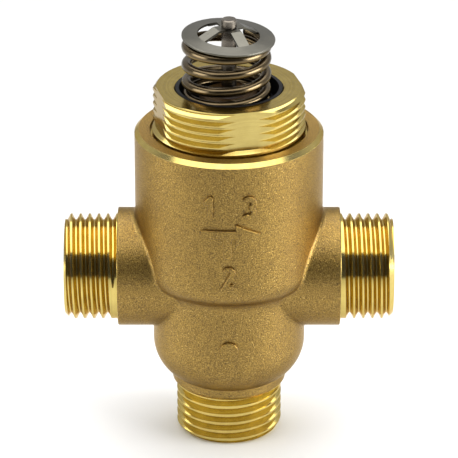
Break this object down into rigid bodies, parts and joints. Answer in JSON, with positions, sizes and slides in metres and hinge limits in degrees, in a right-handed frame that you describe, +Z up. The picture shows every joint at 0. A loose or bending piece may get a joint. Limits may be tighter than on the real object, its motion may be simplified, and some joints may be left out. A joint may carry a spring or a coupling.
{
  "type": "three-port zone valve",
  "caption": "Three-port brass valve body with external threads, a screwed bonnet for an actuator, and a sprung stem that moves a plug between two seats.",
  "frame": {"origin": "centre of the bottom port's end face", "axes": "+Z up along the stem, +X along the side ports' axis towards port AB"},
  "size_m": [0.065, 0.0376, 0.0875],
  "materials": {
    "cast_brass": "forged and blasted, matt",
    "turned_brass": "turned, bright",
    "spring_steel": "drawn wire, satin",
    "pressed_steel": "pressed sheet, satin",
    "stem_steel": "ground, satin",
    "black_rubber": "moulded",
    "brown_rubber": "moulded",
    "black_plastic": "moulded",
    "white_plastic": "turned"
  },
  "bodies": {
    "valve": {"valve_body": "cast_brass", "lower_seat_ring": "turned_brass", "bonnet": "turned_brass", "bonnet_o_ring": "black_rubber", "cage": "turned_brass", "cage_o_ring": "black_rubber", "spring_cup": "black_plastic", "gland_nut": "turned_brass", "gland_o_ring": "black_rubber", "stem_guide_bush": "white_plastic", "stem_o_ring_lower": "black_rubber", "stem_o_ring_spacer": "white_plastic", "stem_o_ring_upper": "black_rubber", "stem_wiper": "brown_rubber", "return_spring": "spring_steel"},
    "stem": {"stem": "stem_steel", "spring_retainer": "pressed_steel", "plug_body": "turned_brass", "upper_plug_seal": "black_rubber", "lower_plug_seal": "black_rubber", "upper_seal_washer": "pressed_steel", "lower_seal_washer": "pressed_steel", "plug_nut": "turned_brass"}
  },
  "joints": [
    {"name": "stem_travel", "type": "slide", "parent": "valve", "child": "stem", "axis": [0, 0, -1], "range_m": [0, 0.0055], "stiffness_N_per_m": 6500, "springref_m": -0.005, "deforming": ["return_spring"]}
  ]
}
